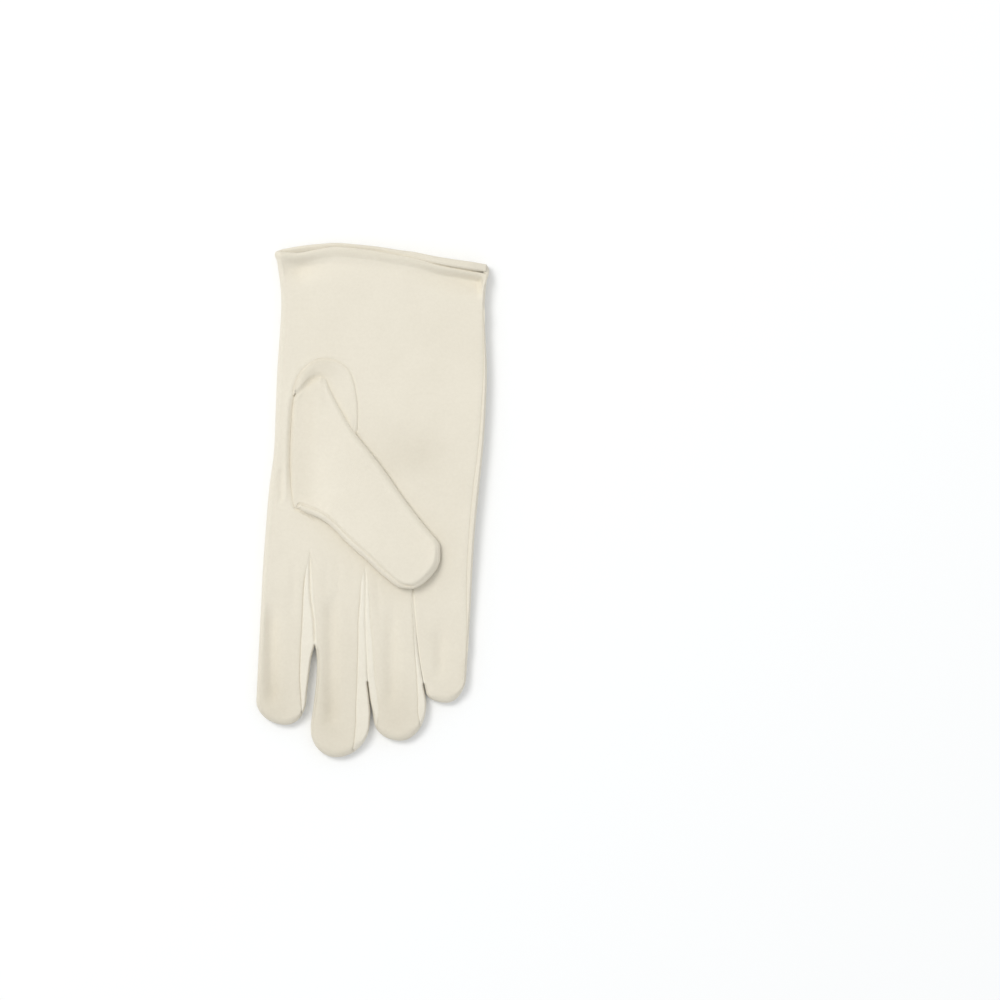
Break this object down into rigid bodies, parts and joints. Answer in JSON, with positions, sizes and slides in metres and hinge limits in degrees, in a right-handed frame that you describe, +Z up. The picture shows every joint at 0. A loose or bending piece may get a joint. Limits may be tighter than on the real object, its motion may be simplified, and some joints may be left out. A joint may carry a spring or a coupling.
{
  "type": "cotton dress glove",
  "caption": "Plain knitted cotton dress glove for the right hand, lying flat palm up with its thumb folded across the palm and its cuff open.",
  "frame": {"origin": "middle of the glove seen from above, on the surface that it lies on", "axes": "+Z up out of the palm, +Y from the fingers to the open cuff, +X to the little finger's side"},
  "size_m": [0.1094, 0.2398, 0.0174],
  "materials": {
    "cotton_jersey": "soft matt cream jersey knit with a fine brushed nap",
    "hem_cotton": "the same jersey turned double and stitched",
    "fourchette_cotton": "the same jersey, a little paler where it is cleaner"
  },
  "bodies": {
    "root": {"palm": "cotton_jersey", "back": "cotton_jersey", "thumb": "cotton_jersey", "wrist_hem": "hem_cotton", "fourchette_index_middle": "fourchette_cotton", "fourchette_middle_ring": "fourchette_cotton", "fourchette_ring_little": "fourchette_cotton"}
  },
  "joints": []
}
